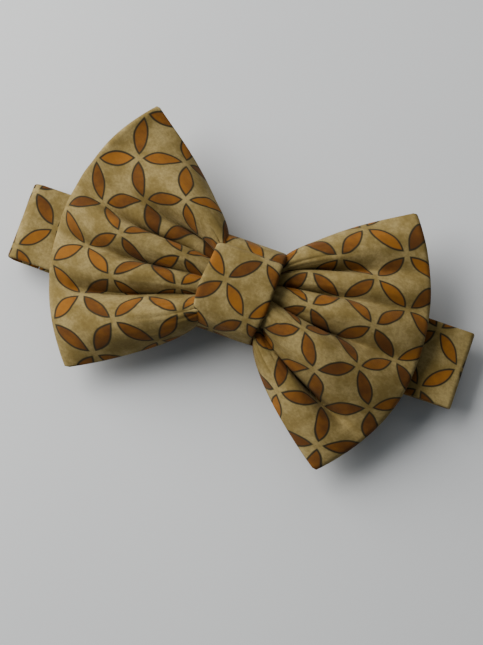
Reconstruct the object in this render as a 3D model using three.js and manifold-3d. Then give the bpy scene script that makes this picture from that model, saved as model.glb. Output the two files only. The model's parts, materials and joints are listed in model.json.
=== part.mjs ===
// A ready-tied bow tie, lying on its back. Millimetres, +Z up, the bow's front facing +Z.
// X runs along the neckband, Y towards the top of the bow.
// The origin is the middle of the base of the whole tie.
import * as THREE from 'three';
import Module from 'manifold-3d';
import { mergeVertices } from 'three/addons/utils/BufferGeometryUtils.js';

const wasm = await Module();
wasm.setup();

// Driving dimensions
const bandWidth = 25.4;
const bandThickness = 1.5;
const foldedLength = 149.5;
const strapThickness = 1.1;
const shortStrapThickness = 0.8;
const gap = 0.3;
const wire = 1.0;

// Levels of the layers, from the surface the tie lies on: centre heights
const returnLegZ = strapThickness / 2;
const longStrapZ = 3.25;
const adjusterZ = (returnLegZ + longStrapZ) / 2;
const shortStrapEndZ = 5.4;
const shortStrapZ = 7.6;
const bandZ = 9.5;
const bandTop = bandZ + bandThickness / 2;
const bandBottom = bandZ - bandThickness / 2;

// Places along the neckband
const leftFoldRadius = (bandZ - longStrapZ) / 2;
const rightFoldRadius = (bandZ - shortStrapZ) / 2;
const leftFoldX = -foldedLength / 2 + leftFoldRadius + bandThickness / 2;
const rightFoldX = foldedLength / 2 - rightFoldRadius - bandThickness / 2;
const hookBarX = 31;
const ringBarX = 56;
const sliderX = -52;
const sliderLength = 11;

// The knot and what is gathered inside it
const knotHalfWidth = 10.6;
const knotBackBottom = 7.0;
const knotWall = 1.4;
const knotTop = 25.4;
const gatherHalfHeight = 10.6;
const gatherTop = 21.7;
const gatherBottom = bandTop + gap;
const threadWall = 0.7;

// The wings: tips and bulge of each outer edge, measured from the knot's centre
const leftWing = { side: -1, topX: 45.6, bottomX: 46.2, bulgeX: 61.6, top: 47.2, bottom: -40.2 };
const rightWing = { side: 1, topX: 44.4, bottomX: 41, bulgeX: 58, top: 43.4, bottom: -44.2 };
const wingRootX = knotHalfWidth + gap;
const wingRootHalfHeight = 12.6;
const clothThickness = 1.4;
const interliningThickness = 0.5;
const lobes = 4;

const cloth = (hex, roughness = 0.9) => new THREE.MeshStandardMaterial({ color: hex, roughness });
const metal = () => new THREE.MeshStandardMaterial({ color: 0xb9b6ae, roughness: 0.35, metalness: 1 });
const bandColour = 0xa98d55;
const wingColour = 0xb0894a;
const liningColour = 0xe4e0d6;

const tie = new THREE.Group();

function add(name, geometry, material) {
  const mesh = new THREE.Mesh(geometry, material);
  mesh.name = name;
  tie.add(mesh);
}

// Booleans
function toSolid(geometry) {
  const bare = geometry.clone();
  bare.deleteAttribute('normal');
  bare.deleteAttribute('uv');
  const merged = mergeVertices(bare, 1e-4);
  return new wasm.Manifold(new wasm.Mesh({
    numProp: 3,
    vertProperties: new Float32Array(merged.attributes.position.array),
    triVerts: new Uint32Array(merged.index.array),
  }));
}

function toGeometry(solid) {
  const mesh = solid.getMesh();
  const geometry = new THREE.BufferGeometry();
  geometry.setAttribute('position', new THREE.BufferAttribute(new Float32Array(mesh.vertProperties), 3));
  geometry.setIndex(new THREE.BufferAttribute(new Uint32Array(mesh.triVerts), 1));
  geometry.computeVertexNormals();
  return geometry;
}

function box(low, high) {
  const size = high.map((value, axis) => value - low[axis]);
  const geometry = new THREE.BoxGeometry(...size);
  geometry.translate(...low.map((value, axis) => value + size[axis] / 2));
  return geometry;
}

const union = (...geometries) => toGeometry(geometries.map(toSolid).reduce((a, b) => a.add(b)));

// A strip seen from its edge: the centre line is a list of [x, z], its width lies along Y
function strip(line, thickness, width) {
  const points = line.map(([x, z]) => new THREE.Vector2(x, z));
  const normals = points.map((point, i) => {
    const before = points[Math.max(i - 1, 0)];
    const after = points[Math.min(i + 1, points.length - 1)];
    const along = after.clone().sub(before).normalize();
    return new THREE.Vector2(-along.y, along.x).multiplyScalar(thickness / 2);
  });
  const left = points.map((point, i) => point.clone().add(normals[i]));
  const right = points.map((point, i) => point.clone().sub(normals[i])).reverse();
  const geometry = new THREE.ExtrudeGeometry(new THREE.Shape([...left, ...right]), {
    depth: width, bevelEnabled: false,
  });
  geometry.rotateX(Math.PI / 2);
  geometry.translate(0, width / 2, 0);
  return geometry;
}

function arc(x, z, radius, fromDegrees, toDegrees, steps = 8) {
  return Array.from({ length: steps + 1 }, (_, i) => {
    const angle = THREE.MathUtils.degToRad(fromDegrees + (toDegrees - fromDegrees) * i / steps);
    return [x + radius * Math.cos(angle), z + radius * Math.sin(angle)];
  });
}

// Neckband: the front run with a fold at each end
const leftFoldZ = bandZ - leftFoldRadius;
const rightFoldZ = bandZ - rightFoldRadius;
add('neckband_front', strip([
  ...arc(leftFoldX, leftFoldZ, leftFoldRadius, 270, 90),
  ...arc(rightFoldX, rightFoldZ, rightFoldRadius, 90, -90),
], bandThickness, bandWidth), cloth(bandColour));

// A strap starts far enough from its fold's axis to swing past the fold
function clearOfFold(radius, strapHalf) {
  const reach = radius + bandThickness / 2 + gap;
  return Math.sqrt(reach ** 2 - (radius - strapHalf) ** 2) + 0.1;
}

// Long adjusting strap, from the left fold to the hook
const longStrapStart = leftFoldX + clearOfFold(leftFoldRadius, strapThickness / 2);
add('long_strap', strip([[longStrapStart, longStrapZ], [hookBarX - gap, longStrapZ]],
  strapThickness, bandWidth), cloth(bandColour));

// The strap turns round the hook's bar and comes back to the slider
const turnRadius = (longStrapZ - returnLegZ) / 2;
add('strap_return', strip([
  ...arc(hookBarX, adjusterZ, turnRadius, 90, -90, 10),
  [sliderX - sliderLength / 2 - 2, returnLegZ],
], strapThickness, bandWidth), cloth(bandColour));

// Slider: bars over the long strap, one bar between the two legs
const railInside = bandWidth / 2 + 0.4;
const railOutside = railInside + 1.6;
const barTop = 4.7;
const barThickness = 0.6;
function sliderBar(x, width, low, high) {
  return box([x - width / 2, -railOutside + 0.2, low], [x + width / 2, railOutside - 0.2, high]);
}
const sliderRail = (side) => box(
  [sliderX - sliderLength / 2, side > 0 ? railInside : -railOutside, adjusterZ - wire / 2],
  [sliderX + sliderLength / 2, side > 0 ? railOutside : -railInside, barTop],
);
add('slider', union(
  sliderRail(-1),
  sliderRail(1),
  sliderBar(sliderX - sliderLength / 2 + 1, 2, barTop - barThickness, barTop),
  sliderBar(sliderX + sliderLength / 2 - 1, 2, barTop - barThickness, barTop),
  sliderBar(sliderX, 2.2, adjusterZ - wire / 2, adjusterZ + wire / 2),
), metal());

// Hook: a frame round the strap's turn, with a tongue that curls down
const turnOutside = turnRadius + strapThickness / 2 + 0.5;
const tongueLength = 6.5;
const tongueRadius = 1.2;
const tongueX = hookBarX + turnOutside + 3;
function barAlongY(x, width, z, height, halfLength) {
  return box([x - width / 2, -halfLength, z - height / 2], [x + width / 2, halfLength, z + height / 2]);
}
const hookRail = (side) => box(
  [hookBarX - wire / 2, side > 0 ? railInside : -railOutside, adjusterZ - wire / 2],
  [hookBarX + turnOutside + 2, side > 0 ? railOutside : -railInside, adjusterZ + wire / 2],
);
add('hook', union(
  barAlongY(hookBarX, wire, adjusterZ, wire, railOutside - 0.1),
  hookRail(-1),
  hookRail(1),
  barAlongY(hookBarX + turnOutside + 1, 2, adjusterZ, wire, railOutside - 0.1),
  strip([
    [hookBarX + turnOutside + 0.6, adjusterZ],
    [tongueX, adjusterZ + 1.0],
    [tongueX + tongueLength, adjusterZ + 1.0],
    ...arc(tongueX + tongueLength, adjusterZ + 1.0 - tongueRadius, tongueRadius, 80, -90, 8),
    [tongueX + 2, adjusterZ + 1.0 - 2 * tongueRadius],
  ], 0.9, 8),
), metal());

// Short strap, from the right fold, with its end sewn back round the ring's bar
const eyeRadius = (shortStrapZ - shortStrapEndZ) / 2;
const eyeZ = (shortStrapZ + shortStrapEndZ) / 2;
const shortStrapStart = rightFoldX - clearOfFold(rightFoldRadius, shortStrapThickness / 2);
add('short_strap', strip([
  [shortStrapStart, shortStrapZ],
  ...arc(ringBarX, eyeZ, eyeRadius, 90, 270, 10),
  [ringBarX + 3, shortStrapEndZ],
  [ringBarX + 7, shortStrapZ - shortStrapThickness - gap],
  [ringBarX + 11, shortStrapZ - shortStrapThickness - gap],
], shortStrapThickness, bandWidth), cloth(bandColour));

// Eye ring: a bar inside the strap's loop and a rounded frame beyond it
const ringWire = 0.9;
const ringReach = 9;
const ringFrame = [-1, 1].map((side) => box(
  [ringBarX - ringReach, side > 0 ? railInside : -railOutside, eyeZ - ringWire / 2],
  [ringBarX + ringWire / 2, side > 0 ? railOutside : -railInside, eyeZ + ringWire / 2],
));
add('eye_ring', union(
  barAlongY(ringBarX, ringWire * 0.8, eyeZ, ringWire * 0.8, railOutside - 0.1),
  barAlongY(ringBarX - ringReach + 0.8, 1.6, eyeZ, ringWire, railOutside - 0.1),
  ...ringFrame,
), metal());

// A closed ring round the middle of the bow, in the YZ plane
function wrap(outline, hole, halfWidth) {
  const shape = new THREE.Shape(outline.map(([y, z]) => new THREE.Vector2(y, z)));
  shape.holes.push(new THREE.Path(hole.map(([y, z]) => new THREE.Vector2(y, z))));
  const geometry = new THREE.ExtrudeGeometry(shape, { depth: 2 * halfWidth, bevelEnabled: false });
  geometry.translate(0, 0, -halfWidth);
  // the shape's plane becomes YZ and its depth becomes X
  geometry.applyMatrix4(new THREE.Matrix4().makeBasis(
    new THREE.Vector3(0, 1, 0), new THREE.Vector3(0, 0, 1), new THREE.Vector3(1, 0, 0),
  ));
  return geometry;
}

// The knot band leans in towards its front and bulges a little there
function knotOutline(grow, backCorner) {
  const half = bandWidth / 2 + 0.4 + grow;
  const front = knotTop - knotWall + grow;
  const back = knotBackBottom + knotWall - grow;
  return [
    [-half + backCorner, back], [half - backCorner, back], [half, back + backCorner], [half, bandTop + 1],
    [half - 0.6, front - 4], [half - 2.2, front - 1.6], [half - 5, front - 0.5],
    [0, front], [-half + 5, front - 0.5], [-half + 2.2, front - 1.6], [-half + 0.6, front - 4],
    [-half, bandTop + 1], [-half, back + backCorner],
  ];
}
add('knot_band', wrap(knotOutline(knotWall, 1), knotOutline(0, 0.1), knotHalfWidth), cloth(wingColour));

// Stiffening sheet between the gathers and the front of the knot band
const knotLiningZ = gatherTop + gap;
add('knot_interlining', box([-knotHalfWidth + 1, -8, knotLiningZ], [knotHalfWidth - 1, 8, knotLiningZ + 0.5]),
  cloth(liningColour));

// The gathered middle of the bow panel, pleated across, with a waist for the thread
const pleatCount = 4;
const waistHalf = 2.2;
const waistDepth = threadWall + gap;
function pleatedBlock(halfHeight, low, high, x0, x1) {
  const steps = pleatCount * 8;
  const edge = (level, sign) => Array.from({ length: steps + 1 }, (_, i) => {
    const t = i / steps;
    return [-halfHeight + 2 * halfHeight * t, level + sign * 0.5 * Math.cos(2 * Math.PI * pleatCount * t)];
  });
  const outline = [...edge(low + 0.5, 1), ...edge(high - 0.5, 1).reverse()];
  const shape = new THREE.Shape(outline.map(([y, z]) => new THREE.Vector2(y, z)));
  const geometry = new THREE.ExtrudeGeometry(shape, { depth: x1 - x0, bevelEnabled: false });
  geometry.translate(0, 0, x0);
  geometry.applyMatrix4(new THREE.Matrix4().makeBasis(
    new THREE.Vector3(0, 1, 0), new THREE.Vector3(0, 0, 1), new THREE.Vector3(1, 0, 0),
  ));
  return geometry;
}
const gatherEnd = knotHalfWidth - gap;
add('gathered_middle', union(
  pleatedBlock(gatherHalfHeight, gatherBottom, gatherTop, -gatherEnd, -waistHalf),
  pleatedBlock(gatherHalfHeight - waistDepth, gatherBottom + waistDepth, gatherTop - waistDepth,
    -waistHalf - 0.5, waistHalf + 0.5),
  pleatedBlock(gatherHalfHeight, gatherBottom, gatherTop, waistHalf, gatherEnd),
), cloth(wingColour));

// Thread wound round the waist of the gathers
const waistHeight = gatherHalfHeight - waistDepth + gap;
const rectangle = (half, low, high) => [[-half, low], [half, low], [half, high], [-half, high]];
add('gathering_thread', wrap(
  rectangle(waistHeight + threadWall, gatherBottom, gatherTop),
  rectangle(waistHeight, gatherBottom + threadWall, gatherTop - threadWall),
  waistHalf - gap,
), cloth(0xd8cba8, 0.6));

// A wing's place on its plan: s runs from the knot to the outer edge, w from the bottom tip to the top tip
function wingPlan(wing, s, w) {
  const tipX = w > 0 ? wing.topX : wing.bottomX;
  const outerX = wing.bulgeX - (wing.bulgeX - tipX) * Math.abs(w) ** 2.2;
  const outerY = THREE.MathUtils.lerp(wing.bottom, wing.top, (w + 1) / 2);
  const rootY = w * wingRootHalfHeight;
  return [
    wing.side * THREE.MathUtils.lerp(wingRootX, outerX, s),
    THREE.MathUtils.lerp(rootY, outerY, s ** 0.68),
  ];
}

// Heights of the wing's two layers: they part between the knot and the edge and meet at the edge
const edgeHeight = (w) => 14.5 - 3.5 * w * w;
function layerHeights(s, w) {
  const meet = THREE.MathUtils.lerp(16.4, edgeHeight(w), s);
  const puff = Math.sin(Math.PI * s ** 0.85) * (1 - 0.55 * w * w);
  const pleat = (1 - s) ** 1.3 * Math.cos(Math.PI * lobes * w);
  const apart = THREE.MathUtils.lerp(2.6, clothThickness / 2 + gap / 2, s);
  return { front: meet + apart + 6.5 * puff + 1.6 * pleat, back: meet - apart - 2.2 * puff + 0.8 * pleat };
}

// A closed sheet of one thickness over a grid of s and w
function sheet(wing, heightAt, thickness, [sFrom, sTo], wLimit, sSteps = 12, wSteps = 26) {
  const positions = [];
  const index = [];
  const row = wSteps + 1;
  const layer = row * (sSteps + 1);
  for (const offset of [thickness / 2, -thickness / 2]) {
    for (let i = 0; i <= sSteps; i += 1) {
      const s = THREE.MathUtils.lerp(sFrom, sTo, i / sSteps);
      for (let j = 0; j <= wSteps; j += 1) {
        const w = wLimit * (2 * j / wSteps - 1);
        positions.push(...wingPlan(wing, s, w), heightAt(s, w) + offset);
      }
    }
  }
  const quad = (a, b, c, d) => {
    const face = [a, b, c, a, c, d];
    index.push(...(wing.side > 0 ? face : face.reverse()));
  };
  for (let i = 0; i < sSteps; i += 1) {
    for (let j = 0; j < wSteps; j += 1) {
      const a = i * row + j;
      quad(a, a + row, a + row + 1, a + 1);
      quad(layer + a, layer + a + 1, layer + a + row + 1, layer + a + row);
    }
    const bottom = i * row;
    const top = i * row + wSteps;
    quad(bottom, layer + bottom, layer + bottom + row, bottom + row);
    quad(top, top + row, layer + top + row, layer + top);
  }
  for (let j = 0; j < wSteps; j += 1) {
    const outer = sSteps * row + j;
    quad(j, j + 1, layer + j + 1, layer + j);
    quad(outer, layer + outer, layer + outer + 1, outer + 1);
  }
  const geometry = new THREE.BufferGeometry();
  geometry.setAttribute('position', new THREE.BufferAttribute(new Float32Array(positions), 3));
  geometry.setIndex(index);
  geometry.computeVertexNormals();
  return geometry;
}

for (const [name, wing] of [['left_wing', leftWing], ['right_wing', rightWing]]) {
  add(`${name}_front`, sheet(wing, (s, w) => layerHeights(s, w).front, clothThickness, [0, 1], 1),
    cloth(wingColour));
  add(`${name}_back`, sheet(wing, (s, w) => layerHeights(s, w).back, clothThickness, [0, 1], 1),
    cloth(bandColour));
  add(`${name}_interlining`, sheet(wing, (s, w) => {
    const { front, back } = layerHeights(s, w);
    return (front + back) / 2;
  }, interliningThickness, [0.04, 0.86], 0.86, 8, 20), cloth(liningColour));
}

// The neckband's middle lies a little below the middle of the bow's height, so the tie is centred by its box
tie.updateMatrixWorld(true);
const bounds = new THREE.Box3().setFromObject(tie);
const centre = bounds.getCenter(new THREE.Vector3());
tie.position.set(-centre.x, -centre.y, -bounds.min.z);

export default tie;
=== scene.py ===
"""A ready-tied bow tie in printed cotton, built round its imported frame. Metres, +Z out of the bow's front."""

import json
import math

import bpy
import numpy as np
from mathutils import Matrix, Vector, noise


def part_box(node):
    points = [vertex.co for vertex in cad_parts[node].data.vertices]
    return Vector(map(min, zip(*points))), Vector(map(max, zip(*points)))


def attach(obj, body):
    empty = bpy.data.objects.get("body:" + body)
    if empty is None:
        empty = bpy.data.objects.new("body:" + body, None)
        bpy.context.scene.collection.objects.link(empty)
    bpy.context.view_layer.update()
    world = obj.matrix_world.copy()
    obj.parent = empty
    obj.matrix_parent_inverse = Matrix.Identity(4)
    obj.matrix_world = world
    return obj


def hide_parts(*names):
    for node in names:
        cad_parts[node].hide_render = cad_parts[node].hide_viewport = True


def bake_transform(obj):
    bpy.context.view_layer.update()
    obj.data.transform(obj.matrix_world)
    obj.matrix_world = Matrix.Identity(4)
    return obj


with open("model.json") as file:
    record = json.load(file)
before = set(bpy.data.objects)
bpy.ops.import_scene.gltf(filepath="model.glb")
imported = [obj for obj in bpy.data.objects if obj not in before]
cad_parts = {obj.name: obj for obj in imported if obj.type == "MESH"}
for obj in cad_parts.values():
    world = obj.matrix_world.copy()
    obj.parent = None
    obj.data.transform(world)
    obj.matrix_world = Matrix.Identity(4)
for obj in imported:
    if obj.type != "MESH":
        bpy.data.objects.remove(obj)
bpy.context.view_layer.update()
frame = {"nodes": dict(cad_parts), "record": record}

MM = 0.001

# What the frame gives
BAND_LOW, BAND_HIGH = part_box("neckband_front")
KNOT_LOW, KNOT_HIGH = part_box("knot_band")
LONG_LOW, LONG_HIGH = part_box("long_strap")
SLIDER_LOW, SLIDER_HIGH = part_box("slider")
RETURN_LEG_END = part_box("strap_return")[0].x
RING_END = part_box("eye_ring")[0].x
JOINTS = {joint["name"]: joint for joint in frame["record"]["behaviour"]["joints"]}

MID_X = (KNOT_LOW.x + KNOT_HIGH.x) / 2
MID_Y = (BAND_LOW.y + BAND_HIGH.y) / 2
KNOT_MID_Y = (KNOT_LOW.y + KNOT_HIGH.y) / 2
BAND_WIDTH = BAND_HIGH.y - BAND_LOW.y
BAND_TOP = BAND_HIGH.z


def deselect():
    if bpy.context.mode != "OBJECT":
        bpy.ops.object.mode_set(mode="OBJECT")
    bpy.ops.object.select_all(action="DESELECT")


def activate(piece):
    deselect()
    piece.select_set(True)
    bpy.context.view_layer.objects.active = piece


def finish_piece(piece, body, slot, material, *nodes):
    """Gives a piece its material, the nodes that it stands for and the body that it rides on. Its slot is not
    used.
    """
    piece.data.materials.clear()
    piece.data.materials.append(material)
    if nodes:
        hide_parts(*nodes)
    if body:
        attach(piece, body)


def apply_modifiers(piece):
    activate(piece)
    for modifier in list(piece.modifiers):
        bpy.ops.object.modifier_apply(modifier=modifier.name)


def shade_smooth(piece):
    activate(piece)
    bpy.ops.object.shade_smooth()


# Materials


class Nodes:
    """Short calls for building a material's node tree."""

    def __init__(self, name):
        self.material = bpy.data.materials.new(name)
        self.material.use_nodes = True
        self.tree = self.material.node_tree
        self.shader = self.tree.nodes["Principled BSDF"]

    def link(self, source, socket):
        self.tree.links.new(source, socket)

    def put(self, socket, value):
        if isinstance(value, bpy.types.NodeSocket):
            self.link(value, socket)
        elif value is not None:
            socket.default_value = value

    def math(self, operation, a, b=None, c=None):
        node = self.tree.nodes.new("ShaderNodeMath")
        node.operation = operation
        for socket, value in zip(node.inputs, (a, b, c)):
            self.put(socket, value)
        return node.outputs[0]

    def vector(self, operation, a, b):
        node = self.tree.nodes.new("ShaderNodeVectorMath")
        node.operation = operation
        self.put(node.inputs[0], a)
        self.put(node.inputs[1], b)
        return node.outputs[0]

    def split(self, vector):
        node = self.tree.nodes.new("ShaderNodeSeparateXYZ")
        self.link(vector, node.inputs[0])
        return node.outputs

    def join(self, x, y, z=0.0):
        node = self.tree.nodes.new("ShaderNodeCombineXYZ")
        for socket, value in zip(node.inputs, (x, y, z)):
            self.put(socket, value)
        return node.outputs[0]

    def mapping(self, vector, scale=(1, 1, 1), turn=0.0, move=(0, 0, 0)):
        node = self.tree.nodes.new("ShaderNodeMapping")
        self.link(vector, node.inputs["Vector"])
        node.inputs["Scale"].default_value = scale
        node.inputs["Rotation"].default_value = (0, 0, turn)
        node.inputs["Location"].default_value = move
        return node.outputs[0]

    def noise(self, vector, scale, detail=2.0, roughness=0.5, colour=False):
        node = self.tree.nodes.new("ShaderNodeTexNoise")
        self.link(vector, node.inputs["Vector"])
        node.inputs["Scale"].default_value = scale
        node.inputs["Detail"].default_value = detail
        node.inputs["Roughness"].default_value = roughness
        return node.outputs["Color" if colour else "Fac"]

    def white(self, vector):
        node = self.tree.nodes.new("ShaderNodeTexWhiteNoise")
        node.noise_dimensions = "2D"
        self.link(vector, node.inputs["Vector"])
        return node.outputs["Value"]

    def step(self, value, low, high):
        """0 below low and 1 above high, smooth between."""
        node = self.tree.nodes.new("ShaderNodeMapRange")
        node.interpolation_type = "SMOOTHSTEP"
        self.put(node.inputs["Value"], value)
        node.inputs["From Min"].default_value = low
        node.inputs["From Max"].default_value = high
        return node.outputs["Result"]

    def mix(self, factor, a, b):
        node = self.tree.nodes.new("ShaderNodeMix")
        node.data_type = "RGBA"
        self.put(node.inputs["Factor"], factor)
        self.put(node.inputs["A"], a)
        self.put(node.inputs["B"], b)
        return node.outputs["Result"]

    def coordinates(self, kind):
        return self.tree.nodes.new("ShaderNodeTexCoord").outputs[kind]

    def bump(self, height, strength, distance):
        node = self.tree.nodes.new("ShaderNodeBump")
        node.inputs["Strength"].default_value = strength
        node.inputs["Distance"].default_value = distance
        self.link(height, node.inputs["Height"])
        return node.outputs["Normal"]


def srgb(red, green, blue):
    """A colour given in sRGB, as linear light."""
    def linear(value):
        value /= 255
        return value / 12.92 if value <= 0.04045 else ((value + 0.055) / 1.055) ** 2.4
    return (linear(red), linear(green), linear(blue), 1.0)


# the print: sizes of a petal in millimetres, the rest in metres of cloth
PETAL_SPACING = 13.7 * MM
PETAL_HALF_LENGTH = 5.6
PETAL_HALF_WIDTH = 2.1
PETAL_OUTLINE = 0.4
OUTLINE_SOFTNESS = 0.2
GRAIN_ANGLE = math.radians(45)
HAND_DRAWN = 1.6 * MM
THREAD_SPACING = 0.42 * MM
WEAVE_HEIGHT = 0.14 * MM


def lens(nodes, along, across):
    """Signed distance, in millimetres, to a pointed petal lying along the first coordinate."""
    radius = (PETAL_HALF_LENGTH ** 2 + PETAL_HALF_WIDTH ** 2) / (2 * PETAL_HALF_WIDTH)
    offset = nodes.math("ADD", nodes.math("ABSOLUTE", across), radius - PETAL_HALF_WIDTH)
    along_squared = nodes.math("MULTIPLY", along, along)
    across_squared = nodes.math("MULTIPLY", offset, offset)
    reach = nodes.math("SQRT", nodes.math("ADD", along_squared, across_squared))
    return nodes.math("SUBTRACT", reach, radius)


def printed_cotton(name, move=(0.0, 0.0)):
    """Plain-weave cotton printed with petals that meet in fours. The UV map is the flat cloth, in metres."""
    nodes = Nodes(name)
    flat = nodes.coordinates("UV")
    hand = nodes.vector("SUBTRACT", nodes.noise(flat, 95.0, 1.5, 0.5, colour=True), (0.5, 0.5, 0.5))
    drawn = nodes.vector("ADD", flat, nodes.vector("MULTIPLY", hand, (HAND_DRAWN, HAND_DRAWN, 0.0)))
    spacing = 1 / PETAL_SPACING
    lattice = nodes.mapping(drawn, (spacing, spacing, 1), GRAIN_ANGLE, (move[0], move[1], 0))
    a, b, _ = nodes.split(lattice)

    def to_node(value):
        return nodes.math("SUBTRACT", value, nodes.math("ROUND", value))

    def to_middle(value):
        return nodes.math("SUBTRACT", nodes.math("FRACT", value), 0.5)

    def in_mm(value):
        return nodes.math("MULTIPLY", value, PETAL_SPACING / MM)

    first = lens(nodes, in_mm(to_middle(a)), in_mm(to_node(b)))
    second = lens(nodes, in_mm(to_middle(b)), in_mm(to_node(a)))
    distance = nodes.math("MINIMUM", first, second)
    rim_inside = -PETAL_OUTLINE - OUTLINE_SOFTNESS
    rim_outside = -PETAL_OUTLINE + OUTLINE_SOFTNESS
    petal = nodes.math("SUBTRACT", 1.0, nodes.step(distance, rim_inside, rim_outside))
    inked = nodes.math("SUBTRACT", 1.0, nodes.step(distance, -0.05, 0.34))

    # each petal has its own tone, and is clouded
    which = nodes.math("LESS_THAN", first, second)
    half_step = nodes.math("MULTIPLY", 0.5, nodes.math("SUBTRACT", 1.0, which))
    column = nodes.math("FLOOR", nodes.math("ADD", a, half_step))
    row = nodes.math("FLOOR", nodes.math("ADD", b, nodes.math("MULTIPLY", 0.5, which)))
    tone = nodes.white(nodes.join(nodes.math("ADD", column, nodes.math("MULTIPLY", which, 0.37)), row))
    cloud = nodes.noise(flat, 160.0, 3.0, 0.6)
    shade = nodes.math("ADD", nodes.math("MULTIPLY", tone, 0.45), nodes.math("MULTIPLY", cloud, 0.75))
    ochre = nodes.mix(nodes.step(shade, 0.3, 0.95), srgb(86, 48, 6), srgb(146, 93, 24))

    # the ground is mottled, as if sponged
    mottle = nodes.noise(flat, 120.0, 4.0, 0.62)
    fine = nodes.step(nodes.noise(flat, 1100.0, 2.0, 0.7), 0.3, 0.7)
    ground = nodes.mix(nodes.step(mottle, 0.36, 0.66), srgb(127, 108, 57), srgb(163, 144, 92))
    ground = nodes.mix(nodes.math("MULTIPLY", fine, 0.35), ground, srgb(92, 74, 33))
    ink = nodes.mix(nodes.noise(flat, 300.0, 2.0), srgb(27, 25, 14), srgb(48, 44, 26))
    colour = nodes.mix(inked, ground, ink)
    colour = nodes.mix(petal, colour, ochre)

    # plain weave: two sets of threads, over and under
    thread = math.tau / THREAD_SPACING
    u, v, _ = nodes.split(flat)
    warp = nodes.math("SINE", nodes.math("MULTIPLY", u, thread))
    weft = nodes.math("SINE", nodes.math("MULTIPLY", v, thread))
    weave = nodes.math("MULTIPLY", warp, weft)
    colour = nodes.mix(nodes.math("MULTIPLY_ADD", weave, 0.08, 0.08), colour, srgb(74, 58, 28))
    slub = nodes.noise(nodes.mapping(flat, (1, 9, 1)), 240.0, 2.0)
    height = nodes.math("ADD", nodes.math("MULTIPLY", weave, 0.5), nodes.math("MULTIPLY", slub, 0.9))
    nodes.link(colour, nodes.shader.inputs["Base Color"])
    nodes.link(nodes.math("MULTIPLY_ADD", cloud, 0.12, 0.78), nodes.shader.inputs["Roughness"])
    nodes.shader.inputs["Sheen Weight"].default_value = 0.06
    nodes.shader.inputs["Sheen Roughness"].default_value = 0.55
    nodes.shader.inputs["Sheen Tint"].default_value = srgb(238, 226, 196)
    nodes.shader.inputs["Specular IOR Level"].default_value = 0.2
    nodes.link(nodes.bump(height, 0.6, WEAVE_HEIGHT), nodes.shader.inputs["Normal"])
    return nodes.material


def interlining_felt(name, kind):
    """Soft non-woven stiffening, mapped by its flat cloth (UV) or by its place (Object)."""
    nodes = Nodes(name)
    flat = nodes.coordinates(kind)
    fibres = nodes.noise(nodes.mapping(flat, (1, 3, 1)), 900.0, 4.0, 0.7)
    nodes.link(nodes.mix(fibres, srgb(214, 208, 192), srgb(236, 232, 220)), nodes.shader.inputs["Base Color"])
    nodes.shader.inputs["Roughness"].default_value = 0.95
    nodes.link(nodes.bump(fibres, 0.5, 0.0001), nodes.shader.inputs["Normal"])
    return nodes.material


def sewing_thread():
    """Twisted thread, with its plies running slantwise, and painted shade: lighter on the plies' crests and
    darker in the grooves between them.
    """
    nodes = Nodes("sewing_thread")
    place = nodes.coordinates("Object")
    x, y, z = nodes.split(place)
    ply = nodes.math("SINE", nodes.math("MULTIPLY", nodes.math("ADD", nodes.math("ADD", x, y), z), 9000.0))
    # painted shade: the colour follows the ply wave of the bump, lighter on the crests and darker in the
    # grooves
    nodes.link(nodes.mix(nodes.math("MULTIPLY_ADD", ply, 0.5, 0.5), srgb(182, 158, 104), srgb(214, 194, 146)),
               nodes.shader.inputs["Base Color"])
    nodes.shader.inputs["Roughness"].default_value = 0.6
    nodes.shader.inputs["Sheen Weight"].default_value = 0.3
    nodes.link(nodes.bump(ply, 0.4, 0.00005), nodes.shader.inputs["Normal"])
    return nodes.material


def plated_steel():
    """Bright plated steel, slightly brushed and a little dulled in places."""
    nodes = Nodes("plated_steel")
    place = nodes.coordinates("Object")
    brushed = nodes.noise(nodes.mapping(place, (1, 14, 1)), 500.0, 3.0, 0.6)
    worn = nodes.noise(place, 260.0, 3.0, 0.6)
    nodes.link(nodes.mix(nodes.step(worn, 0.45, 0.7), srgb(206, 203, 196), srgb(176, 171, 160)),
               nodes.shader.inputs["Base Color"])
    nodes.shader.inputs["Metallic"].default_value = 1.0
    nodes.link(nodes.math("MULTIPLY_ADD", brushed, 0.22, 0.16), nodes.shader.inputs["Roughness"])
    nodes.link(nodes.bump(brushed, 0.12, 0.00003), nodes.shader.inputs["Normal"])
    return nodes.material


def floor_material():
    nodes = Nodes("pale_table")
    place = nodes.coordinates("Object")
    cloud = nodes.noise(place, 6.0, 2.0)
    nodes.link(nodes.mix(nodes.step(cloud, 0.3, 0.7), srgb(214, 217, 219), srgb(218, 221, 222)),
               nodes.shader.inputs["Base Color"])
    nodes.shader.inputs["Roughness"].default_value = 0.55
    return nodes.material


# Cloth sheets made from a grid of points


def grid_piece(name, points, flat):
    """A mesh over rows of points, with the flat cloth's place of each point as its UV map."""
    rows, columns = points.shape[:2]
    mesh = bpy.data.meshes.new(name)
    faces = []
    for i in range(rows - 1):
        for j in range(columns - 1):
            a = i * columns + j
            faces.append((a, a + 1, a + columns + 1, a + columns))
    mesh.from_pydata(points.reshape(-1, 3).tolist(), [], faces)
    layer = mesh.uv_layers.new(name="flat_cloth")
    corner_uv = flat.reshape(-1, 2)
    vertex_of_corner = np.zeros(len(mesh.loops), np.int32)
    mesh.loops.foreach_get("vertex_index", vertex_of_corner)
    layer.data.foreach_set("uv", corner_uv[vertex_of_corner].astype(np.float32).ravel())
    piece = bpy.data.objects.new(name, mesh)
    bpy.context.scene.collection.objects.link(piece)
    return piece


def thicken(piece, thickness):
    solid = piece.modifiers.new("cloth_thickness", "SOLIDIFY")
    solid.thickness = thickness
    solid.offset = 0.0
    apply_modifiers(piece)
    shade_smooth(piece)


# The wings

CLOTH = 0.9 * MM
STIFFENING = 0.25 * MM

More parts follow.
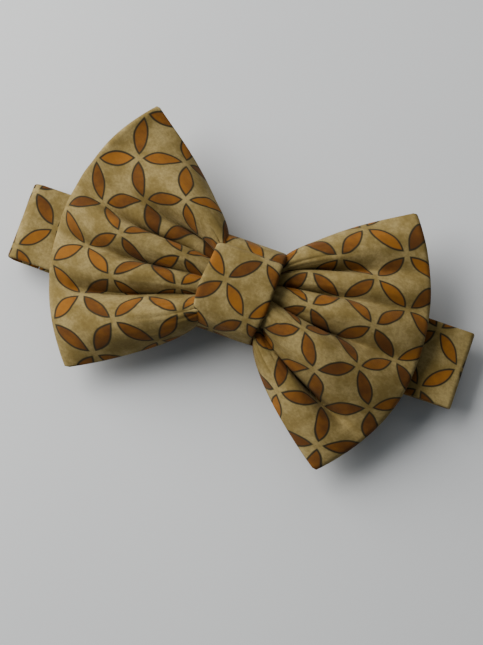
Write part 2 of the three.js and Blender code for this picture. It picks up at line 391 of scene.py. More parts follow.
# the wings' shape, with its sizes in millimetres
FOLD_ROUND = 1.0
SPREAD_CURVE = 0.68  # below 1, the wing opens out quickly beside the knot
EDGE_CURVE = 2.2  # above 2, the outer edge is flatter in its middle than an arc
FRONT_SWELL = 2.6
BACK_SWELL = 4.0
LAYERS_APART_AT_KNOT = 1.7
LEAST_APART = 1.2
SEWN_APART = 1.0
SEWN_REACH = 5.0
BAND_REACH = 14.6
OVER_BAND = 0.9
HANG_START = 14.0
HANG_REACH = 10.0
LAP_BESIDE = 2.6
LAP_WIDTH = 1.7
PUCKERS = 0.17
UNEVENNESS = 0.20
# the print's size on a wing as a share of its size on the flat cloth
PRINT_ALONG = 0.93
PRINT_ACROSS = 1.08


class Wing:
    """One wing's plan, in millimetres from the knot's centre, and the creases that run out from the knot."""

    def __init__(self, side, top_tip, bottom_tip, bulge, lift, creases):
        self.side = side
        self.top_tip = top_tip
        self.bottom_tip = bottom_tip
        self.bulge = bulge
        self.lift = lift
        self.creases = creases

    def edge_level(self, w):
        """Height of the outer edge: bottom tip, middle and top tip."""
        bottom, middle, top = self.lift
        return middle + (top - bottom) / 2 * w + ((top + bottom) / 2 - middle) * w * w


# A wing's side, its top and bottom tips, how far out its edge bulges, and the edge's height at the bottom
# tip, in the middle and at the top tip. Then its creases, each with its place from the bottom edge (-1) to
# the top edge (1), at the knot, halfway out and at the edge; how far it is pressed in; how far out it runs
# (1 at the edge); and how far the cloth laps down over it.
LEFT_WING = Wing(-1, (42.9, 46.2), (43.3, -39.6), 59.9, (9.5, 13.5, 20.0),
                 [(-0.28, -0.44, -0.45, 5.6, 0.9, -1.2), (0.08, -0.10, -0.10, 2.0, 0.62, 0.4),
                  (0.40, 0.20, 0.28, 4.2, 0.8, 0.9), (0.64, 0.40, 0.46, 2.4, 0.55, 0.4)])
RIGHT_WING = Wing(1, (43.4, 40.6), (39.5, -44.3), 58.4, (10.0, 14.0, 18.5),
                  [(-0.50, -0.64, -0.66, 7.0, 0.9, 1.5), (0.0, -0.05, -0.05, 4.4, 0.7, 0.8),
                   (0.36, 0.32, 0.34, 1.8, 0.6, -0.3), (0.68, 0.60, 0.62, 3.2, 0.7, -0.5)])
# where the wing leaves the knot: how far out, half its height, and the heights that its folds keep between
ROOT_X = 8.8
ROOT_HALF = 11.6
ROOT_FLOOR = 12.6
ROOT_TOP = 21.8
# the wing's height at its edge as a share of its cloth, since even there it is not quite flat
EDGE_SPREAD = 0.972

# a fold is an arch that leaves the cloth's line by its opening angle: what its chord is for each such angle
ARCH_ANGLES = np.linspace(0, 2.3, 400)
ARCH_PLACES = (np.arange(200) + 0.5) / 200
CHORD_SHARES = np.array([np.mean(np.cos(angle * np.cos(np.pi * ARCH_PLACES))) for angle in ARCH_ANGLES])


def arch_angle(share):
    """The opening angle of a fold whose chord is that share of its cloth."""
    return np.interp(-share, -CHORD_SHARES, ARCH_ANGLES)


def crease_places(wing, s):
    """The edges and the creases between, from -1 to 1, at a share s of the way out from the knot."""
    places = [-1.0]
    for at_knot, halfway, at_edge, *_ in wing.creases:
        t = min(max(s, 0.0), 1.0)
        place = (1 - t) * (1 - 2 * t) * at_knot + 4 * t * (1 - t) * halfway + t * (2 * t - 1) * at_edge
        places.append(place)
    return places + [1.0]


def wing_height(wing, s):
    opened = max(s, 0) ** SPREAD_CURVE
    top = ROOT_HALF + (wing.top_tip[1] - ROOT_HALF) * opened
    bottom = -ROOT_HALF + (wing.bottom_tip[1] + ROOT_HALF) * opened
    return bottom, top


def cross_section(wing, s, count):
    """Places across the wing (-1 to 1), heights above the creases and flat places, all at one distance s."""
    bottom, top = wing_height(wing, s)
    full = wing.top_tip[1] - wing.bottom_tip[1]
    places = crease_places(wing, s)
    edges = crease_places(wing, 1.0)
    cloth = full / EDGE_SPREAD
    q = np.linspace(0, cloth, count)
    starts = [(edge + 1) / 2 * cloth for edge in edges]
    angle = np.zeros(count)
    for i in range(len(starts) - 1):
        length = starts[i + 1] - starts[i]
        chord = (places[i + 1] - places[i]) / 2 * (top - bottom)
        share = min(chord / length, 0.999)
        inside = (q >= starts[i]) & (q <= starts[i + 1])
        t = (q[inside] - starts[i]) / length
        angle[inside] = arch_angle(share) * np.cos(np.pi * t)
    # round the creases off over a little cloth
    step = q[1] - q[0]
    reach = int(3.0 / step)
    softness = 0.42 + 0.5 * s
    kernel = np.exp(-0.5 * (np.arange(-reach, reach + 1) * step / softness) ** 2)
    padded_angle = np.pad(angle, reach, mode="edge")
    angle = np.convolve(padded_angle, kernel / kernel.sum(), mode="valid")
    across = np.concatenate([[0], np.cumsum((np.cos(angle[1:]) + np.cos(angle[:-1])) / 2 * step)])
    height = np.concatenate([[0], np.cumsum((np.sin(angle[1:]) + np.sin(angle[:-1])) / 2 * step)])
    height -= np.linspace(0, height[-1], count)
    for start, (*_, depth, run, _) in zip(starts[1:-1], wing.creases):
        if s < run:
            width = 1.5 + 2.4 * s
            height -= depth * math.sin(math.pi * (s / run) ** 0.7) * np.exp(-((q - start) / width) ** 2)
    return -1 + 2 * across / across[-1], height, q + cloth * wing.bottom_tip[1] / full


def wing_plan(wing, s, w):
    """Plan places, in millimetres from the knot's centre."""
    tip_x = np.where(w > 0, wing.top_tip[0], wing.bottom_tip[0])
    outer_x = wing.bulge - (wing.bulge - tip_x) * np.abs(w) ** EDGE_CURVE
    bottom, top = wing_height(wing, s)
    x = ROOT_X + (outer_x - ROOT_X) * s
    y = bottom + (top - bottom) * (w + 1) / 2
    return wing.side * x, y


def fold_laps(wing, s, q):
    """How far the cloth beside each crease leans over it, across the wing."""
    cloth = q[-1] - q[0]
    lean = np.zeros(len(q))
    for _, _, at_edge, _, run, lap in wing.creases:
        if s >= run:
            continue
        start = q[0] + (at_edge + 1) / 2 * cloth
        side = math.copysign(1.0, lap)
        near = np.exp(-((q - start - side * LAP_BESIDE) / LAP_WIDTH) ** 2)
        lean -= lap * math.sin(math.pi * (s / run) ** 0.55) * near
    return lean


def small_wrinkles(wing, s, q):
    """Puckers running out from the stitching, and the slight unevenness of pressed cloth."""
    puckers = np.sin(2.3 * q + 1.2 * np.sin(0.6 * q) + 2.0 * s)
    puckers = puckers + 0.6 * np.sin(3.7 * q + wing.side * 1.4 - 3.0 * s)
    uneven = np.sin(0.42 * q + 5.0 * s + wing.side)
    uneven = uneven + 0.7 * np.sin(0.71 * q - 7.3 * s + 2.0 * wing.side)
    cross = np.sin(11.0 * s + 0.31 * q + 1.7 * wing.side)
    pressed = UNEVENNESS * math.sin(math.pi * s) * (uneven + 0.6 * cross)
    return PUCKERS * (1 - s) ** 2.2 * puckers + pressed


def wing_layer(wing, s, columns, layer):
    """One row of the wing. The layer is 1 for the front, 0 for the back and 0.5 for the stiffening sheet."""
    w, height, q = cross_section(wing, s, columns)
    x, y = wing_plan(wing, s, w)
    y = y + fold_laps(wing, s, q)
    height = height * min(1.0, (ROOT_TOP - ROOT_FLOOR) / max(height.max(), 1e-6))
    edge = wing.edge_level(w)
    swell = math.sin(math.pi * s)
    height = height + small_wrinkles(wing, s, q)
    above_band = np.abs(y) < BAND_REACH
    front = ROOT_FLOOR + (edge + FOLD_ROUND - ROOT_FLOOR) * s + FRONT_SWELL * swell * (1 - w * w) + height
    front = np.where(above_band, np.maximum(front, ROOT_FLOOR - 0.2), front)
    # the back hangs down beside the band and rests above it, and follows the front's folds only near the knot
    hang = np.clip((np.abs(y) - HANG_START) / HANG_REACH, 0, 1)
    back_root = ROOT_FLOOR - LAYERS_APART_AT_KNOT
    back = back_root + (edge - FOLD_ROUND - back_root) * s - BACK_SWELL * swell * hang
    back = back + height * (0.12 + 0.8 * (1 - s) ** 2)
    back = np.where(above_band, np.maximum(back, BAND_TOP / MM + OVER_BAND), back)
    back = np.minimum(back, front - LEAST_APART)
    # the long edges are sewn, so the two layers come together there
    from_edge = np.minimum(q - q[0], q[-1] - q)
    open_by = np.clip(from_edge / SEWN_REACH, 0, 1) ** 1.5
    back = front - SEWN_APART - (front - back - SEWN_APART) * open_by
    return np.stack([x, y, back + (front - back) * layer], 1), q


def along_cloth(points):
    """Length along each column of points, from the first row."""
    steps = np.linalg.norm(np.diff(points, axis=0), axis=2)
    return np.concatenate([np.zeros((1, points.shape[1])), np.cumsum(steps, axis=0)])


def place_wing(points):
    """From millimetres round the knot's centre to metres in the frame."""
    points = np.array(points) * MM
    points[:, :, 0] += MID_X
    points[:, :, 1] += KNOT_MID_Y
    return points


def wing_points(wing, front_rows=64, back_rows=44, turn_rows=6, columns=230):
    """The wing's sheet from inside the knot, out over the front, round the edge and back along the back."""
    rows = []
    # inside the knot the two wings' cloth runs on, still gathered, to the middle
    front_root, _ = wing_layer(wing, 0.0, columns, 1.0)
    back_root, _ = wing_layer(wing, 0.0, columns, 0.0)
    front_root[:, 2] = np.clip(front_root[:, 2], ROOT_FLOOR - 0.2, ROOT_TOP - 0.6)
    inner_shares = (0.02, 0.35, 0.7)
    for share in inner_shares:
        rows.append(front_root * [share, 1, 1])
    for s in np.linspace(0, 1, front_rows):
        points, q = wing_layer(wing, float(s), columns, 1.0)
        rows.append(points)
    edge_front, _ = wing_layer(wing, 1.0, columns, 1.0)
    edge_back, _ = wing_layer(wing, 1.0, columns, 0.0)
    for i in range(1, turn_rows):
        turn = math.pi * i / turn_rows
        row = (edge_front + edge_back) / 2 + (edge_front - edge_back) / 2 * math.cos(turn)
        row[:, 0] += wing.side * FOLD_ROUND * math.sin(turn)
        rows.append(row)
    for s in np.linspace(1, 0, back_rows):
        points, _ = wing_layer(wing, float(s), columns, 0.0)
        rows.append(points)
    for share in reversed(inner_shares):
        rows.append(back_root * [share, 1, 1])
    points = place_wing(rows)
    length = along_cloth(points)
    # the print is laid out from the outer edge, the last of the front's rows
    length -= length[len(inner_shares) + front_rows - 1]
    # the cloth lies a little fuller across, and a little shorter along, than its pressed outline
    across = np.broadcast_to(q * MM * PRINT_ACROSS, length.shape)
    flat = np.stack([wing.side * length * PRINT_ALONG, across], 2)
    return points, flat


def make_wing(name, wing, material, nodes):
    points, flat = wing_points(wing)
    if wing.side < 0:
        points = points[:, ::-1]
        flat = flat[:, ::-1]
    piece = grid_piece(name, points, flat)
    thicken(piece, CLOTH)
    finish_piece(piece, "bow", "printed_cotton", material, *nodes)


def make_wing_interlining(name, wing, material, node):
    """A stiffening sheet midway between the wing's two layers, cut short of the wing's edges."""
    columns = 160
    rows = [wing_layer(wing, float(s), columns, 0.5) for s in np.linspace(0.02, 0.93, 36)]
    trim = slice(6, columns - 6)
    points = place_wing([row[0][trim] for row in rows])
    across = rows[0][1][trim] * MM
    length = along_cloth(points)
    flat = np.stack([wing.side * length, np.broadcast_to(across, length.shape)], 2)
    if wing.side < 0:
        points = points[:, ::-1]
        flat = flat[:, ::-1]
    piece = grid_piece(name, points, flat)
    thicken(piece, STIFFENING)
    finish_piece(piece, "bow", "interlining", material, node)


COTTON_LEFT = printed_cotton("printed_cotton_left", (0.45, 0.62))
COTTON_RIGHT = printed_cotton("printed_cotton_right", (0.0, 0.55))
FELT = interlining_felt("interlining_felt", "UV")
KNOT_FELT = interlining_felt("knot_interlining_felt", "Object")
THREAD = sewing_thread()
STEEL = plated_steel()
make_wing("left_wing_cloth", LEFT_WING, COTTON_LEFT,
          ["left_wing_front", "left_wing_back", "gathered_middle"])
make_wing("right_wing_cloth", RIGHT_WING, COTTON_RIGHT,
          ["right_wing_front", "right_wing_back", "gathered_middle"])
make_wing_interlining("left_wing_stiffening", LEFT_WING, FELT, "left_wing_interlining")
make_wing_interlining("right_wing_stiffening", RIGHT_WING, FELT, "right_wing_interlining")


# The knot band

# The knot's sizes are in millimetres. Its outside is as seen from the bow's end: y from the band's middle,
# and height.
KNOT_OUTLINE = [(0.0, 7.3), (-9.0, 7.2), (-13.2, 7.6), (-14.4, 10.0), (-14.5, 13.5), (-13.9, 17.5),
                (-12.2, 21.2), (-8.6, 23.6), (-3.5, 24.8), (2.5, 25.2), (7.5, 24.8), (10.6, 24.0),
                (12.2, 21.9), (14.6, 20.4), (16.2, 16.0), (16.2, 10.5), (14.6, 7.7), (9.0, 7.2)]
KNOT_CLOTH = 1.1 * MM
KNOT_WIDTH = 21.2
KNOT_COLUMNS = 49
RIM_ROLL = 1.5
RIM_ROLL_FROM = 11.0
FRONT_SAG = 0.35
WRINKLE_DEPTH = 0.16
CREASE_DEPTH = 0.7
FORK_DEPTH = 0.3
CREASE_PLACE = (12.0, 22.2)
COTTON_ON_KNOT = printed_cotton("printed_cotton_knot", (0.15, 0.35))


def smooth_loop(points, rounds=3):
    """Cuts the corners of a closed outline, a few times over."""
    loop = np.array(points, float)
    for _ in range(rounds):
        after = np.roll(loop, -1, axis=0)
        loop = np.stack([0.75 * loop + 0.25 * after, 0.25 * loop + 0.75 * after], 1).reshape(-1, 2)
    return loop


def knot_edges(y):
    """Left and right edges of the knot band, in millimetres from its middle, at a height on its front."""
    left = -11.3 - 1.1 * math.exp(-((y + 4.0) / 8.0) ** 2)
    right = 10.5 - 1.9 * max(0.0, min(1.0, (-y - 4.0) / 10.0)) ** 1.5
    return left, right


def make_knot():
    """A band wrapped round the gathers, with its rims rolled in on the front and a crease near its top."""
    loop = smooth_loop(KNOT_OUTLINE)
    loop = np.vstack([loop, loop[:1]])
    inward = np.zeros_like(loop)
    along = np.roll(loop[:-1], -1, axis=0) - np.roll(loop[:-1], 1, axis=0)
    inward[:-1] = np.stack([along[:, 1], -along[:, 0]], 1) / np.linalg.norm(along, axis=1)[:, None]
    inward[-1] = inward[0]
    length = np.concatenate([[0], np.cumsum(np.linalg.norm(np.diff(loop, axis=0), axis=1))])
    crease_at = length[np.argmin((loop[:, 0] - CREASE_PLACE[0]) ** 2 + (loop[:, 1] - CREASE_PLACE[1]) ** 2)]
    rows = []
    flats = []
    for (y, z), (ny, nz), u in zip(loop, inward, length):
        left, right = knot_edges(y)
        if z < 12:
            # the edges run straight along the back
            half = KNOT_WIDTH / 2
            blend_in = (z - 7) / 5
            left = -half + (left + half) * blend_in
            right = half + (right - half) * blend_in
        row = []
        flat = []
        for j in range(KNOT_COLUMNS):
            t = 2 * j / (KNOT_COLUMNS - 1) - 1
            x = (left + right) / 2 + (right - left) / 2 * math.sin(t * math.pi / 2 * 0.97)
            roll = RIM_ROLL * abs(t) ** 9 * max(0.0, min(1.0, (z - RIM_ROLL_FROM) / 4.0))
            sag = FRONT_SAG * math.cos(t * math.pi / 2) * (1 if z > 20 else 0.3)
            wrinkle = WRINKLE_DEPTH * noise.noise(Vector((x * 0.10, u * 0.55, 3.0)))
            crease = -CREASE_DEPTH * math.exp(-((u - crease_at) / 0.8) ** 2) * (0.7 + 0.3 * t)
            fork = math.exp(-((u - crease_at + 3.0 - 2.0 * t) / 0.6) ** 2)
            crease -= FORK_DEPTH * fork * max(0.0, t) ** 2
            push = roll - sag - wrinkle - crease
            row.append((x, y + ny * push, z + nz * push))
            flat.append((x, u))
        rows.append(row)
        flats.append(flat)
    points = np.array(rows) * MM
    points[-1] = points[0]
    points[:, :, 0] += MID_X
    points[:, :, 1] += MID_Y
    piece = grid_piece("knot_band_cloth", points, np.array(flats) * MM)
    activate(piece)
    bpy.ops.object.mode_set(mode="EDIT")
    bpy.ops.mesh.select_all(action="SELECT")
    bpy.ops.mesh.remove_doubles(threshold=1e-6)
    bpy.ops.mesh.normals_make_consistent(inside=False)
    bpy.ops.object.mode_set(mode="OBJECT")
    solid = piece.modifiers.new("cloth_thickness", "SOLIDIFY")
    solid.thickness = KNOT_CLOTH
    solid.offset = -1.0
    apply_modifiers(piece)
    shade_smooth(piece)
    finish_piece(piece, "bow", "printed_cotton", COTTON_ON_KNOT, "knot_band")


make_knot()


# The neckband and its straps


# the cloth on the inside of a strap is further along the width of the flat cloth than its outside
PRINT_ON_INSIDE = 43 * MM


def arc_points(x, z, radius, start, end, steps=14):
    angles = np.radians(np.linspace(start, end, steps + 1))
    return [(x + radius * math.cos(a), z + radius * math.sin(a)) for a in angles]


def straight(x0, z0, x1, z1, step=1.5 * MM):
    count = max(2, int(abs(x1 - x0) / step))
    return [(x0 + (x1 - x0) * i / count, z0 + (z1 - z0) * i / count) for i in range(count)]


def make_strap(name, line, thicknesses, start_length=0.0, ripple=0.12, seed=0.0):
    """A pressed tube of cloth along a line of (x, z), as wide as the band, with round edges and closed ends.

    The thicknesses are pairs: how far along, and how thick there. The print starts at start_length.
    """
    line = np.array(line, float)
    count = len(line)
    tangent = np.gradient(line, axis=0)
    tangent /= np.linalg.norm(tangent, axis=1)[:, None]
    normal = np.stack([-tangent[:, 1], tangent[:, 0]], 1)
    length = start_length + np.concatenate([[0], np.cumsum(np.linalg.norm(np.diff(line, axis=0), axis=1))])
    half = BAND_WIDTH / 2
    flat_columns = np.linspace(-1, 1, 23)
    section = [(t, 1.0) for t in flat_columns]
    section += [(1.0, math.cos(a)) for a in np.linspace(0, math.pi, 7)[1:-1]]
    section += [(t, -1.0) for t in flat_columns[::-1]]
    section += [(-1.0, math.cos(a)) for a in np.linspace(math.pi, 2 * math.pi, 7)[1:-1]]
    rim = len(section)
    vertices = []
    uvs = []
    for i in range(count):
        thick = np.interp(length[i] - length[0], *zip(*thicknesses)) / 2
        wander = 0.25 * MM * noise.noise(Vector((length[i] * 45, seed, 1.5)))
        end_round = min(1.0, 0.55 + 0.45 * min(i, count - 1 - i) / 2)
        for k, (t, side) in enumerate(section):
            edge = abs(t) == 1.0
            bulge = thick * math.sqrt(max(0.0, 1 - side * side)) if edge else 0.0
            y = t * (half - thick) + math.copysign(bulge, t) + wander
            swell = ripple * MM * noise.noise(Vector((length[i] * 70, t * 2.2, seed)))
            offset = side * thick * end_round + swell
            x = line[i, 0] + normal[i, 0] * offset
            z = line[i, 1] + normal[i, 1] * offset
            vertices.append((x, MID_Y + y, z))
            uvs.append((length[i], y if side > 0 else PRINT_ON_INSIDE - y))
    faces = []
    for i in range(count - 1):
        for k in range(rim):
            a = i * rim + k
            b = i * rim + (k + 1) % rim
            faces.append((a, b, b + rim, a + rim))
    faces.append(tuple(range(rim)))
    faces.append(tuple(reversed(range((count - 1) * rim, count * rim))))
    mesh = bpy.data.meshes.new(name)
    mesh.from_pydata(vertices, [], faces)
    layer = mesh.uv_layers.new(name="flat_cloth")
    index = np.zeros(len(mesh.loops), np.int32)
    mesh.loops.foreach_get("vertex_index", index)
    layer.data.foreach_set("uv", np.array(uvs, np.float32)[index].ravel())
    piece = bpy.data.objects.new(name, mesh)
    bpy.context.scene.collection.objects.link(piece)
    activate(piece)
    bpy.ops.object.mode_set(mode="EDIT")
    bpy.ops.mesh.select_all(action="SELECT")
    bpy.ops.mesh.normals_make_consistent(inside=False)
    bpy.ops.object.mode_set(mode="OBJECT")
    shade_smooth(piece)
    return piece, length[-1]


JOIN_PAST_FOLD = 8 * MM
BAND_THICKNESS = 1.5 * MM
BAND_Z = BAND_TOP - BAND_THICKNESS / 2
LEFT_FOLD = Vector(JOINTS["left_fold"]["pos_m"])
RIGHT_FOLD = Vector(JOINTS["right_fold"]["pos_m"])
LEFT_RADIUS = BAND_Z - LEFT_FOLD.z
RIGHT_RADIUS = BAND_Z - RIGHT_FOLD.z
LONG_Z = (LONG_LOW.z + LONG_HIGH.z) / 2
STRAP_THICKNESS = LONG_HIGH.z - LONG_LOW.z
SHORT_THICKNESS = 0.8 * MM
SHORT_Z = RIGHT_FOLD.z - RIGHT_RADIUS
COTTON_ON_BAND = printed_cotton("printed_cotton_band", (0.93, 0.57))
COTTON_ON_BAND_RIGHT = printed_cotton("printed_cotton_band_right", (0.77, 0.74))


def make_left_straps():
    """The neckband's left half with its fold, the long strap, its turn round the hook and its return leg."""
    join_x = LEFT_FOLD.x + JOIN_PAST_FOLD
    bar = JOINTS["hook_swing"]["pos_m"]
    radius = LONG_Z - bar[2]
    return_z = bar[2] - radius
    turn_start = bar[0] - 6 * MM

    line = straight(MID_X, BAND_Z, LEFT_FOLD.x, BAND_Z)
    line += arc_points(LEFT_FOLD.x, LEFT_FOLD.z, LEFT_RADIUS, 90, 270, 24)
    line += straight(LEFT_FOLD.x + 0.6 * MM, LONG_Z, join_x, LONG_Z)
    halfway = LEFT_RADIUS * math.pi / 2 + MID_X - LEFT_FOLD.x
    thicknesses = [(halfway - 1.0 * MM, BAND_THICKNESS), (halfway + 6.0 * MM, STRAP_THICKNESS)]
    left, reached = make_strap("neckband_left_cloth", line, thicknesses, seed=2.0)
    finish_piece(left, None, "printed_cotton", COTTON_ON_BAND, "neckband_front", "long_strap")
    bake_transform(left)

    line = straight(join_x - 1.5 * MM, LONG_Z, turn_start + 1.5 * MM, LONG_Z)
    one_thickness = [(0.0, STRAP_THICKNESS)]
    strap, reached = make_strap("long_strap_cloth", line, one_thickness, reached, seed=3.0)
    finish_piece(strap, None, "printed_cotton", COTTON_ON_BAND, "long_strap")
    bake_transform(strap)

    line = straight(turn_start, LONG_Z, bar[0], LONG_Z, 0.8 * MM)
    line += arc_points(bar[0], bar[2], radius, 90, -90)
    line += straight(bar[0] - 0.5 * MM, return_z, turn_start, return_z, 0.8 * MM)
    turn, reached = make_strap("hook_turn_cloth", line, one_thickness, reached, seed=5.0)
    finish_piece(turn, "hook_end", "printed_cotton", COTTON_ON_BAND, "strap_return")

    line = straight(turn_start + 1.5 * MM, return_z, RETURN_LEG_END, return_z)
    line.append((RETURN_LEG_END, return_z))
    leg, _ = make_strap("return_leg_cloth", line, one_thickness, reached, seed=11.0)
    finish_piece(leg, None, "printed_cotton", COTTON_ON_BAND, "strap_return")
    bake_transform(leg)


def make_right_strap():
    """The neckband's right half with its fold, its loop round the ring and the loop's sewn tail."""
    ring_x, _, ring_z = JOINTS["eye_swing"]["pos_m"]
    loop = SHORT_Z - ring_z
    right_line = straight(MID_X, BAND_Z, RIGHT_FOLD.x, BAND_Z)
    right_line += arc_points(RIGHT_FOLD.x, RIGHT_FOLD.z, RIGHT_RADIUS, 90, -90, 36)
    right_line += straight(RIGHT_FOLD.x - 0.5 * MM, SHORT_Z, ring_x, SHORT_Z, 0.8 * MM)
    right_line += arc_points(ring_x, ring_z, loop, 90, 270)
    tail_z = SHORT_Z - SHORT_THICKNESS - 0.05 * MM
    right_line += straight(ring_x + 0.6 * MM, ring_z - loop, ring_x + 4 * MM, tail_z - 0.4 * MM, 0.6 * MM)
    right_line += straight(ring_x + 4.6 * MM, tail_z - 0.15 * MM, ring_x + 11 * MM, tail_z, 0.8 * MM)
    run = RIGHT_FOLD.x - MID_X
    thicknesses = [(run, BAND_THICKNESS), (run + RIGHT_RADIUS * math.pi, SHORT_THICKNESS)]
    right, _ = make_strap("neckband_right_cloth", right_line, thicknesses, ripple=0.05, seed=7.0)
    mirror_length(right)
    finish_piece(right, None, "printed_cotton", COTTON_ON_BAND_RIGHT, "neckband_front", "short_strap")
    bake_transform(right)


def mirror_length(piece):
    """Runs the flat cloth's length the other way, so that the print carries on from the left half."""
    layer = piece.data.uv_layers.active
    values = np.zeros(len(layer.data) * 2, np.float32)
    layer.data.foreach_get("uv", values)
    values[0::2] *= -1
    layer.data.foreach_set("uv", values)


make_left_straps()
make_right_strap()


# Metal parts and stitching

RAIL_INSIDE = BAND_WIDTH / 2 + 0.4 * MM
RAIL_OUTSIDE = RAIL_INSIDE + 1.6 * MM


def add_bar(low, high):
    deselect()
    bpy.ops.mesh.primitive_cube_add(size=1.0)
    bar = bpy.context.object
    bar.scale = [b - a for a, b in zip(low, high)]
    bar.location = [(a + b) / 2 for a, b in zip(low, high)]
    bpy.ops.object.transform_apply(location=True, rotation=True, scale=True)
    return bar


def weld(piece, other):
    """Makes one closed solid of two."""
    union = piece.modifiers.new("weld", "BOOLEAN")
    union.operation = "UNION"
    union.solver = "EXACT"
    union.object = other
    apply_modifiers(piece)
    bpy.data.objects.remove(other)


def finish_metal(piece, name, body, round_by):
    """Rounds a metal part's edges. Its CAD node has the same name as its body."""
    piece.name = name
    bevel = piece.modifiers.new("rounded_edges", "BEVEL")
    bevel.width = round_by
    bevel.segments = 3
    bevel.limit_method = "ANGLE"
    bevel.angle_limit = math.radians(40)
    apply_modifiers(piece)
    activate(piece)
    bpy.ops.object.shade_smooth_by_angle(angle=math.radians(50))
    finish_piece(piece, body, "plated_steel", STEEL, body)


def side_rails(x0, x1, z0, z1):
    near = add_bar((x0, MID_Y - RAIL_OUTSIDE, z0), (x1, MID_Y - RAIL_INSIDE, z1))
    far = add_bar((x0, MID_Y + RAIL_INSIDE, z0), (x1, MID_Y + RAIL_OUTSIDE, z1))
    return near, far


def cross_bar(x, width, z0, z1):
    """A bar across the strap, that ends inside both side rails."""
    half = RAIL_OUTSIDE - 0.2 * MM
    return add_bar((x - width / 2, MID_Y - half, z0), (x + width / 2, MID_Y + half, z1))


def make_slider():
    """A frame with two outer bars over the strap and a middle bar under it."""
    middle = (SLIDER_LOW.x + SLIDER_HIGH.x) / 2
    slider, far = side_rails(SLIDER_LOW.x, SLIDER_HIGH.x, SLIDER_LOW.z, SLIDER_HIGH.z)
    weld(slider, cross_bar(SLIDER_LOW.x + 1.0 * MM, 2.0 * MM, SLIDER_HIGH.z - 0.6 * MM, SLIDER_HIGH.z))
    weld(slider, cross_bar(SLIDER_HIGH.x - 1.0 * MM, 2.0 * MM, SLIDER_HIGH.z - 0.6 * MM, SLIDER_HIGH.z))
    weld(slider, cross_bar(middle, 2.2 * MM, SLIDER_LOW.z, SLIDER_LOW.z + 1.0 * MM))
    weld(slider, far)
    finish_metal(slider, "strap_slider", "slider", 0.2 * MM)


def make_hook():
    """A wire frame round the strap's turn, with a flat tongue bent over into a hook."""
    bar_x, _, bar_z = JOINTS["hook_swing"]["pos_m"]
    front = bar_x + 3.4 * MM
    half_wire = 0.5 * MM
    hook, far = side_rails(bar_x - half_wire, front + 1.0 * MM, bar_z - half_wire, bar_z + half_wire)
    weld(hook, cross_bar(bar_x, 1.0 * MM, bar_z - half_wire, bar_z + half_wire))
    weld(hook, cross_bar(front, 2.0 * MM, bar_z - half_wire, bar_z + half_wire))
    weld(hook, far)
    tongue = add_bar((front - 0.4 * MM, MID_Y - 4.0 * MM, bar_z - 0.45 * MM),
                     (front + 0.2 * MM, MID_Y + 4.0 * MM, bar_z + 0.45 * MM))
    activate(tongue)
    bpy.ops.object.mode_set(mode="EDIT")
    bpy.ops.mesh.select_mode(type="FACE")
    bpy.ops.mesh.select_all(action="DESELECT")
    bpy.ops.object.mode_set(mode="OBJECT")
    for face in tongue.data.polygons:
        face.select = face.normal.x > 0.9
    bpy.ops.object.mode_set(mode="EDIT")
    steps = [(2.2, 1.0), (3.2, 0.0), (3.3, 0.0)]
    for along, rise in steps:
        bpy.ops.mesh.extrude_region_move(TRANSFORM_OT_translate={"value": (along * MM, 0, rise * MM)})
    # the tongue curls back under itself in a half turn
    curl = (front + 8.9 * MM, MID_Y, bar_z + 1.0 * MM - 1.2 * MM)
    for _ in range(8):
        bpy.ops.mesh.extrude_region_move(TRANSFORM_OT_translate={"value": (0, 0, 0)})
        bpy.ops.transform.rotate(value=math.radians(-22.5), orient_axis="Y", orient_type="GLOBAL",
                                 center_override=curl)
    bpy.ops.mesh.extrude_region_move(TRANSFORM_OT_translate={"value": (-4.0 * MM, 0, 0)})
    bpy.ops.object.mode_set(mode="OBJECT")
    weld(hook, tongue)
    finish_metal(hook, "strap_hook", "hook", 0.18 * MM)


def make_ring():
    """A rectangular wire ring, hung in the short strap's loop."""
    bar_x, _, bar_z = JOINTS["eye_swing"]["pos_m"]
    half_wire = 0.45 * MM
    ring, far = side_rails(RING_END, bar_x + half_wire, bar_z - half_wire, bar_z + half_wire)
    weld(ring, cross_bar(bar_x, 0.72 * MM, bar_z - 0.36 * MM, bar_z + 0.36 * MM))
    weld(ring, cross_bar(RING_END + 0.8 * MM, 1.6 * MM, bar_z - half_wire, bar_z + half_wire))
    weld(ring, far)
    finish_metal(ring, "strap_ring", "eye_ring", 0.16 * MM)


STITCH = (1.5 * MM, 0.34 * MM, 0.3 * MM)


def sew(name, body, places, along):
    """A row of stitches: each is a short, plump length of thread."""
    deselect()
    stitches = []
    for place in places:
        bpy.ops.mesh.primitive_uv_sphere_add(segments=10, ring_count=6, radius=1.0, location=place)
        stitch = bpy.context.object
        stitch.scale = [size / 2 for size in STITCH]
        stitch.rotation_euler = (0, 0, along)
        bpy.ops.object.transform_apply(location=True, rotation=True, scale=True)
        stitches.append(stitch)
    deselect()
    for stitch in stitches:
        stitch.select_set(True)
    bpy.context.view_layer.objects.active = stitches[0]
    bpy.ops.object.join()
    row = bpy.context.object
    row.name = name
    shade_smooth(row)
    finish_piece(row, body, "sewing_thread", THREAD)


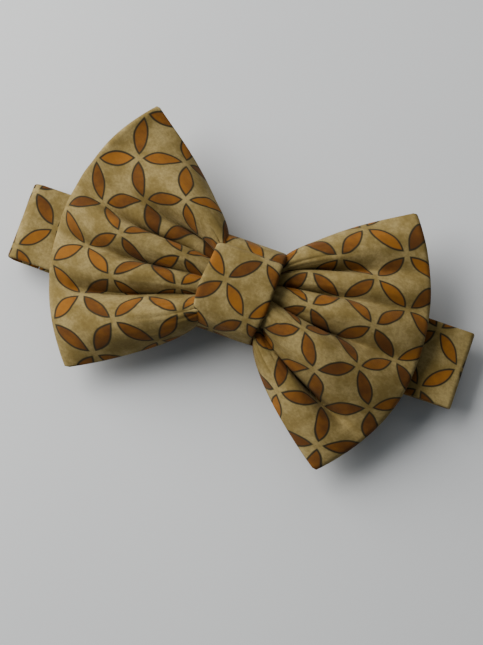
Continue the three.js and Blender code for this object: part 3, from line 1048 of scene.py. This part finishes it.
def sew_all():
    ring_x = JOINTS["eye_swing"]["pos_m"][0]
    across = np.linspace(-0.43, 0.43, 10) * BAND_WIDTH
    under_tail = SHORT_Z - 1.5 * SHORT_THICKNESS - 0.1 * MM
    for number, inward in enumerate((6.4, 8.6)):
        sew(f"ring_loop_stitches_{number + 1}", "right_strap",
            [(ring_x + inward * MM, MID_Y + y, under_tail) for y in across], math.pi / 2)
    closing_z = KNOT_LOW.z + 0.15 * MM
    sew("knot_closing_stitches", "bow",
        [(MID_X + x * MM, MID_Y - 2.0 * MM, closing_z) for x in np.linspace(-8.4, 8.4, 8)], 0.5)
    # the two inner parts that keep their own shape only need a material
    for name, material in (("gathering_thread", THREAD), ("knot_interlining", KNOT_FELT)):
        node = frame["nodes"][name]
        node.data.materials.clear()
        node.data.materials.append(material)


make_slider()
make_hook()
make_ring()
sew_all()


# Stage

# each lamp: its name, place, size, power in watts and colour
LAMPS = [("window", (-0.68, 0.12, 0.49), 0.75, 14.5, (1.0, 0.98, 0.96)),
         ("room_fill", (-0.2, 0.8, 0.7), 0.9, 2.6, (1.0, 0.97, 0.93))]
ROOM_COLOUR = (0.86, 0.93, 1.0, 1)
ROOM_BRIGHTNESS = 0.12
FLOOR_Z = -0.2 * MM


def make_stage():
    """A pale table under the tie, a window to its left and the weak light of the room."""
    deselect()
    bpy.ops.mesh.primitive_plane_add(size=6.0, location=(0, 0, FLOOR_Z))
    floor = bpy.context.object
    floor.name = "table_top"
    floor.data.materials.append(floor_material())

    scene = bpy.context.scene
    world = bpy.data.worlds.new("soft_room")
    scene.world = world
    world.use_nodes = True
    background = world.node_tree.nodes["Background"]
    background.inputs["Color"].default_value = ROOM_COLOUR
    background.inputs["Strength"].default_value = ROOM_BRIGHTNESS
    target = Vector((MID_X, MID_Y, 10 * MM))
    for name, place, size, power, colour in LAMPS:
        lamp = bpy.data.lights.new(name, "AREA")
        lamp.size = size
        lamp.energy = power
        lamp.color = colour
        holder = bpy.data.objects.new(name, lamp)
        holder.location = place
        holder.rotation_euler = (target - Vector(place)).to_track_quat("-Z", "Y").to_euler()
        scene.collection.objects.link(holder)


TURN = math.radians(19.25)
CAMERA_TILT = math.radians(8)
CAMERA_DISTANCE = 0.45
VIEW_HEIGHT = 0.2043
FILM_HEIGHT = 36
TIE_RIGHT_OF_CENTRE = -0.5 * MM
TIE_ABOVE_CENTRE = 9.1 * MM


def make_camera():
    """Looks down at the tie, turned about the vertical and tilted a little towards the tie's lower edge."""
    right = Vector((math.cos(TURN), math.sin(TURN), 0))
    up = Vector((-math.sin(TURN), math.cos(TURN), 0))
    aim = Vector((MID_X, MID_Y, BAND_TOP)) - up * TIE_ABOVE_CENTRE - right * TIE_RIGHT_OF_CENTRE
    backward = Vector((0, 0, 1)) * math.cos(CAMERA_TILT) - up * math.sin(CAMERA_TILT)
    camera_up = backward.cross(right)
    camera = bpy.data.objects.new("camera", bpy.data.cameras.new("camera"))
    bpy.context.scene.collection.objects.link(camera)
    turn = Matrix((right, camera_up, backward)).transposed()
    camera.matrix_world = Matrix.Translation(aim + backward * CAMERA_DISTANCE) @ turn.to_4x4()
    camera.data.sensor_fit = "VERTICAL"
    camera.data.sensor_height = FILM_HEIGHT
    camera.data.lens = FILM_HEIGHT * CAMERA_DISTANCE / VIEW_HEIGHT
    camera.data.clip_start = 0.01
    bpy.context.scene.camera = camera


make_stage()
make_camera()
